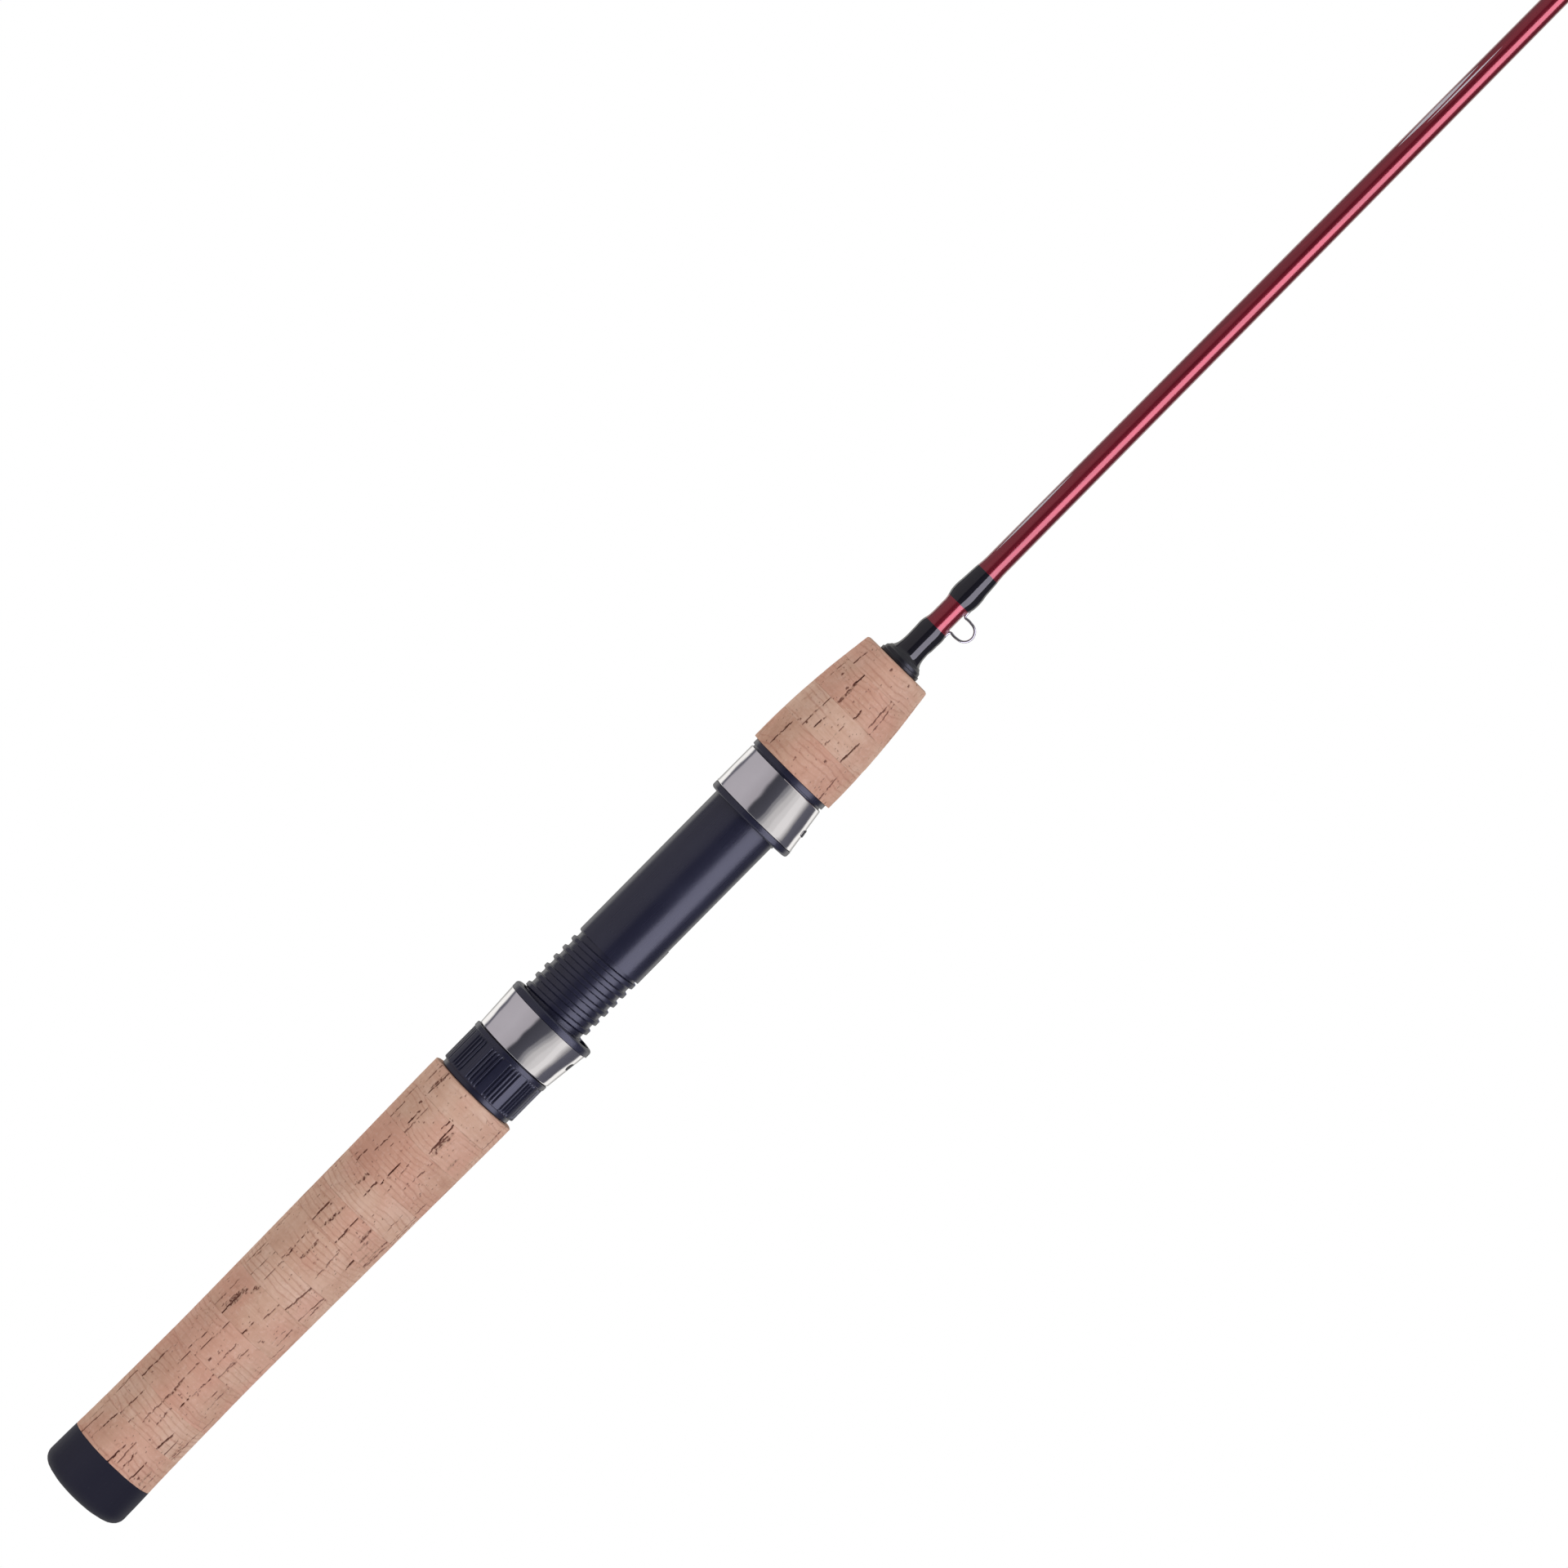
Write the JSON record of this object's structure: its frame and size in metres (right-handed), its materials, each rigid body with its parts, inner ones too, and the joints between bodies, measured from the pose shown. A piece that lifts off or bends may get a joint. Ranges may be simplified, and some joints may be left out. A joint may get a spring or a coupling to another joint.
{
  "type": "ice fishing rod",
  "caption": "Short spinning-style ice fishing rod: cork ring grips, tubular screw-locking reel seat, thin tapered blank, hook keeper, line guides and tip-top.",
  "frame": {"origin": "flat centre of the butt end, on the rod axis", "axes": "+X along the rod from butt to tip, +Z the spine side opposite the reel, -Z the side of the reel, guides and hook keeper"},
  "size_m": [0.9141, 0.0258, 0.0415],
  "materials": {
    "blank_red": "translucent cherry red resin over a solid blank, clear gloss coat",
    "cork": "sanded natural cork with filled and open pits",
    "rubber_black": "satin black rubber",
    "graphite_black": "satin black graphite-filled nylon",
    "chrome_shell": "polished chrome plate",
    "wire_steel": "bright stainless wire",
    "guide_steel": "polished stainless strip",
    "ring_ceramic": "polished dark ceramic",
    "thread_black": "black nylon thread",
    "clear_finish": "clear gloss epoxy rod finish",
    "arbor_foam": "rigid foam bushing"
  },
  "bodies": {
    "rod": {"blank": "blank_red", "butt_cap": "rubber_black", "cork_rear_01": "cork", "cork_rear_02": "cork", "cork_rear_03": "cork", "cork_rear_04": "cork", "cork_rear_05": "cork", "cork_rear_06": "cork", "cork_rear_07": "cork", "cork_rear_08": "cork", "cork_rear_09": "cork", "cork_rear_10": "cork", "cork_rear_11": "cork", "cork_rear_12": "cork", "cork_fore_01": "cork", "cork_fore_02": "cork", "cork_fore_03": "cork", "cork_fore_04": "cork", "seat_barrel": "graphite_black", "seat_arbors": "arbor_foam", "front_hood_shell": "chrome_shell", "seat_trim_ring": "graphite_black", "winding_check": "rubber_black", "hook_keeper": "wire_steel", "keeper_wrap_rear": "thread_black", "keeper_wrap_front": "thread_black", "tip_wrap": "thread_black", "keeper_finish_rear": "clear_finish", "keeper_finish_front": "clear_finish", "tip_finish": "clear_finish", "guide_1_frame": "guide_steel", "guide_1_ring": "ring_ceramic", "guide_1_wrap": "thread_black", "guide_1_finish": "clear_finish", "guide_2_frame": "guide_steel", "guide_2_ring": "ring_ceramic", "guide_2_wrap": "thread_black", "guide_2_finish": "clear_finish", "guide_3_frame": "guide_steel", "guide_3_ring": "ring_ceramic", "guide_3_wrap": "thread_black", "guide_3_finish": "clear_finish", "guide_4_frame": "guide_steel", "guide_4_ring": "ring_ceramic", "guide_4_wrap": "thread_black", "guide_4_finish": "clear_finish", "guide_5_frame": "guide_steel", "guide_5_ring": "ring_ceramic", "guide_5_wrap": "thread_black", "guide_5_finish": "clear_finish", "tip_top_frame": "guide_steel", "tip_top_ring": "ring_ceramic"},
    "hood": {"hood_shell": "chrome_shell", "hood_core": "graphite_black"},
    "nut": {"lock_nut": "graphite_black"}
  },
  "joints": [
    {"name": "hood_slide", "type": "slide", "parent": "rod", "child": "hood", "axis": [1, 0, 0], "range_m": [0, 0.034]},
    {"name": "nut_turn", "type": "hinge", "parent": "hood", "child": "nut", "pos_m": [0.1485, 0, 0], "axis": [1, 0, 0], "range_deg": [0, 3824]}
  ],
  "couplings": [
    {"joint": "hood_slide", "follows": "nut_turn", "m_per_rad": 0.0005093}
  ]
}
